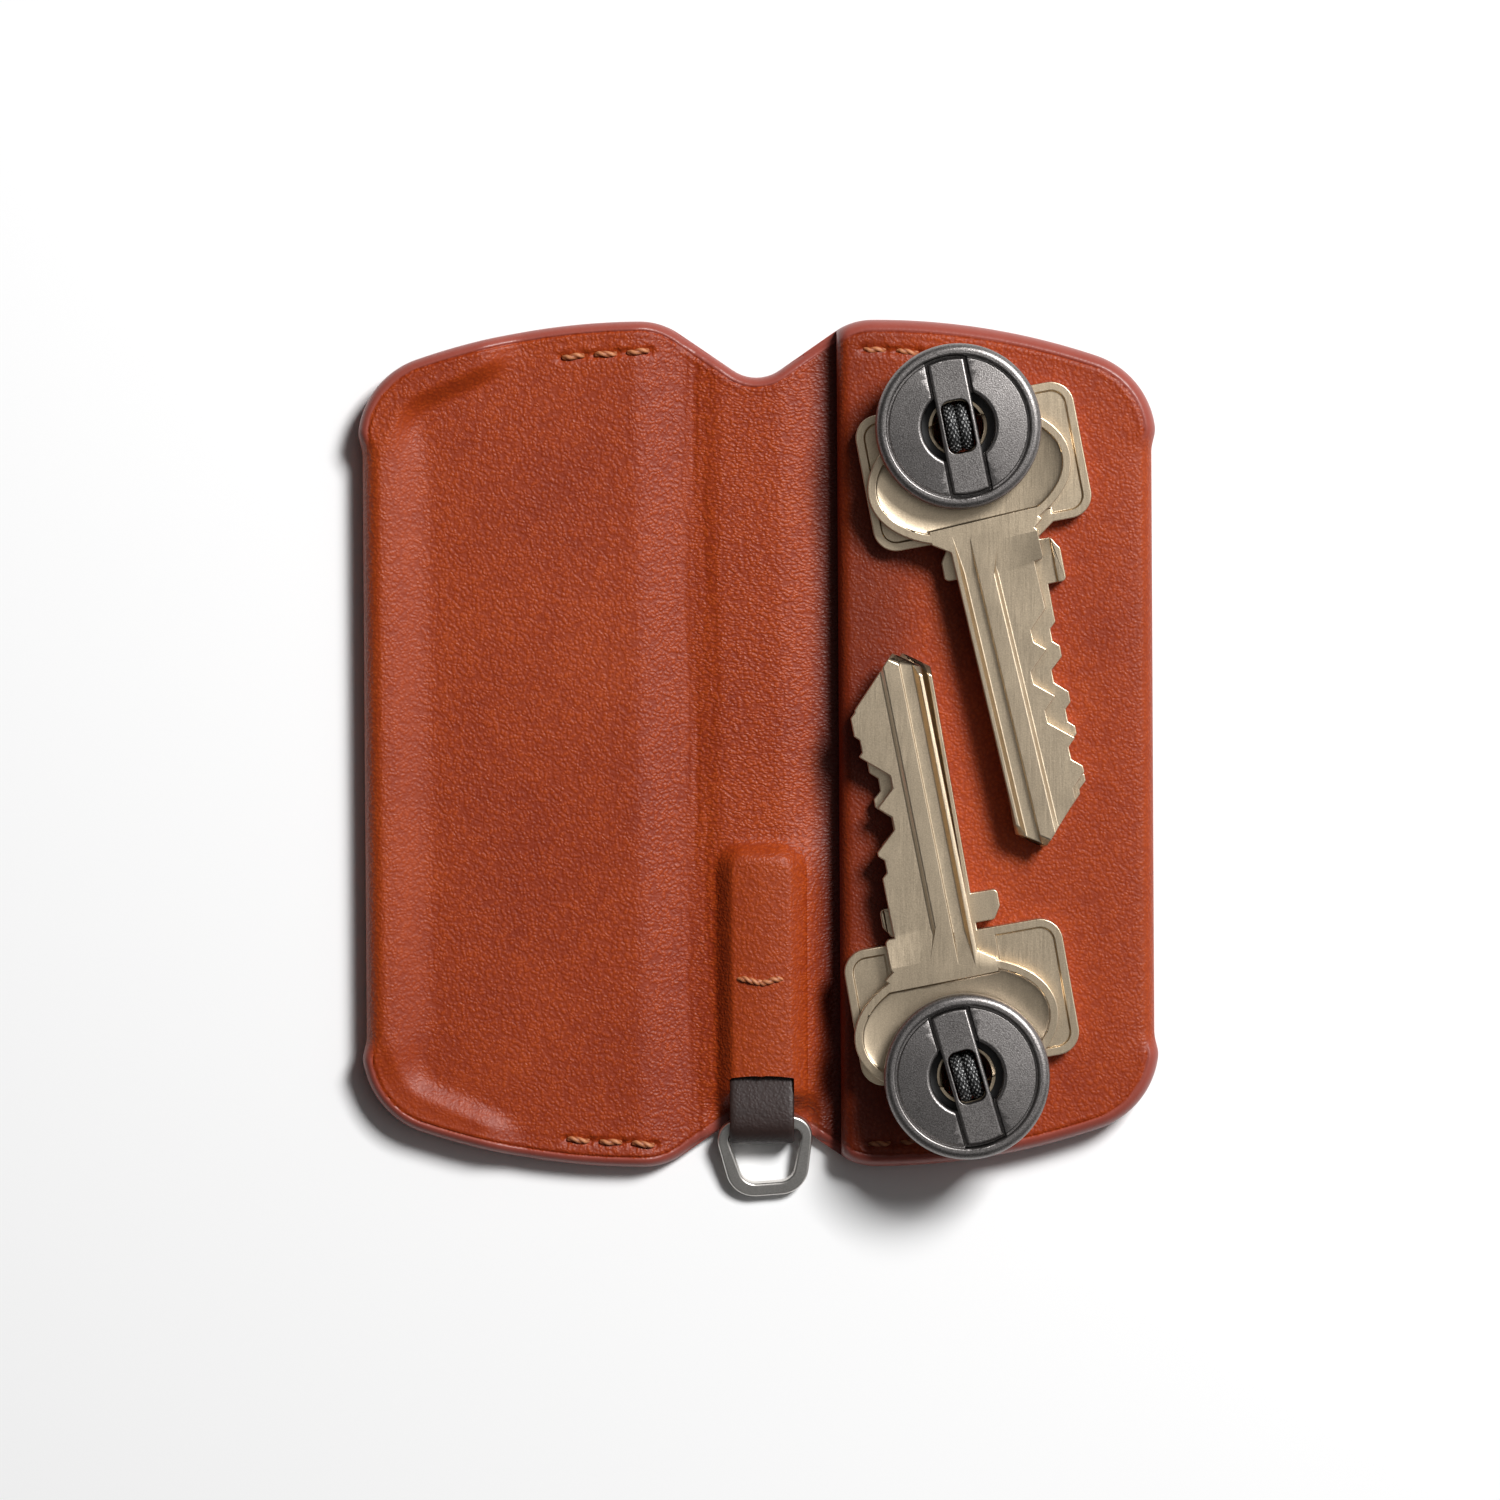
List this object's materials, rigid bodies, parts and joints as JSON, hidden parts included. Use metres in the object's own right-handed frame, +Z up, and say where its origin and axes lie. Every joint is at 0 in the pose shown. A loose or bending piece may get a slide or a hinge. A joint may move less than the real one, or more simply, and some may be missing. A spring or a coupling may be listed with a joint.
{
  "type": "leather key case",
  "caption": "Folding leather case with keys that swing out from elastic posts under round discs with toggle bars, and a strap with a small ring on its spine.",
  "frame": {"origin": "middle of the spine's outer face, on the surface that the open case lies on", "axes": "+X from the spine to the panel with the keys, +Y to the end away from the ring, +Z up out of the open case"},
  "size_m": [0.0824, 0.0906, 0.0122],
  "materials": {
    "outer_leather": "fine grain, waxed",
    "inner_leather": "fine grain, waxed",
    "board": "matte",
    "magnet": "plated",
    "anchor": "matte",
    "thread": "twisted thread",
    "strap": "dark, fine grain",
    "ring_metal": "satin nickel",
    "elastic": "braided",
    "disc_metal": "matte gunmetal",
    "key_metal": "satin nickel plate"
  },
  "bodies": {
    "panel": {"panel_outer_leather": "outer_leather", "hinge_tuck": "inner_leather", "panel_board": "board", "panel_inner_leather": "inner_leather", "panel_stitches": "thread", "top_anchor": "anchor", "bottom_anchor": "anchor"},
    "spine": {"spine_outer_leather": "outer_leather", "spine_inner_leather": "inner_leather", "loop_strap": "strap", "sleeve_stitch": "thread"},
    "cover": {"cover_outer_leather": "outer_leather", "cover_board": "board", "cover_inner_leather": "inner_leather", "cover_top_magnet": "magnet", "cover_bottom_magnet": "magnet", "cover_stitches": "thread"},
    "ring": {"d_ring": "ring_metal"},
    "top_disc": {"top_lock_disc": "disc_metal", "top_cord": "elastic"},
    "bottom_disc": {"bottom_lock_disc": "disc_metal", "bottom_cord": "elastic"},
    "top_toggle": {"top_toggle": "disc_metal"},
    "bottom_toggle": {"bottom_toggle": "disc_metal"},
    "top_upper_key": {"top_upper_key": "key_metal"},
    "top_lower_key": {"top_lower_key": "key_metal"},
    "bottom_upper_key": {"bottom_upper_key": "key_metal"},
    "bottom_lower_key": {"bottom_lower_key": "key_metal"}
  },
  "joints": [
    {"name": "spine_fold", "type": "hinge", "parent": "panel", "child": "spine", "pos_m": [0.006, 0, 0.0022], "axis": [0, 1, 0], "range_deg": [0, 90]},
    {"name": "cover_fold", "type": "hinge", "parent": "spine", "child": "cover", "pos_m": [-0.0066, 0, 0.0022], "axis": [0, 1, 0], "range_deg": [0, 90]},
    {"name": "ring_swing", "type": "hinge", "parent": "spine", "child": "ring", "pos_m": [0.0003, -0.03929, 0.00215], "axis": [0.9976, 0.0698, 0], "range_deg": [-130, 0]},
    {"name": "top_upper_key_swing", "type": "hinge", "parent": "panel", "child": "top_upper_key", "pos_m": [0.0206, 0.0325, 0.0048], "axis": [0, 0, -1], "range_deg": [-170, 0]},
    {"name": "top_lower_key_swing", "type": "hinge", "parent": "panel", "child": "top_lower_key", "pos_m": [0.0215, 0.0325, 0.0048], "axis": [0, 0, -1], "range_deg": [-170, 0]},
    {"name": "top_disc_turn", "type": "hinge", "parent": "panel", "child": "top_disc", "pos_m": [0.0206, 0.0325, 0.00916], "axis": [0, 0, 1], "range_deg": [-90, 90]},
    {"name": "top_toggle_lift", "type": "slide", "parent": "top_disc", "child": "top_toggle", "axis": [0, 0, -1], "range_m": [-0.006, 0], "deforming": ["top_cord"]},
    {"name": "bottom_upper_key_swing", "type": "hinge", "parent": "panel", "child": "bottom_upper_key", "pos_m": [0.0211, -0.034, 0.0048], "axis": [0, 0, -1], "range_deg": [-170, 0]},
    {"name": "bottom_lower_key_swing", "type": "hinge", "parent": "panel", "child": "bottom_lower_key", "pos_m": [0.022, -0.034, 0.0048], "axis": [0, 0, -1], "range_deg": [-170, 0]},
    {"name": "bottom_disc_turn", "type": "hinge", "parent": "panel", "child": "bottom_disc", "pos_m": [0.0211, -0.034, 0.00916], "axis": [0, 0, 1], "range_deg": [-90, 90]},
    {"name": "bottom_toggle_lift", "type": "slide", "parent": "bottom_disc", "child": "bottom_toggle", "axis": [0, 0, -1], "range_m": [-0.006, 0], "deforming": ["bottom_cord"]}
  ]
}
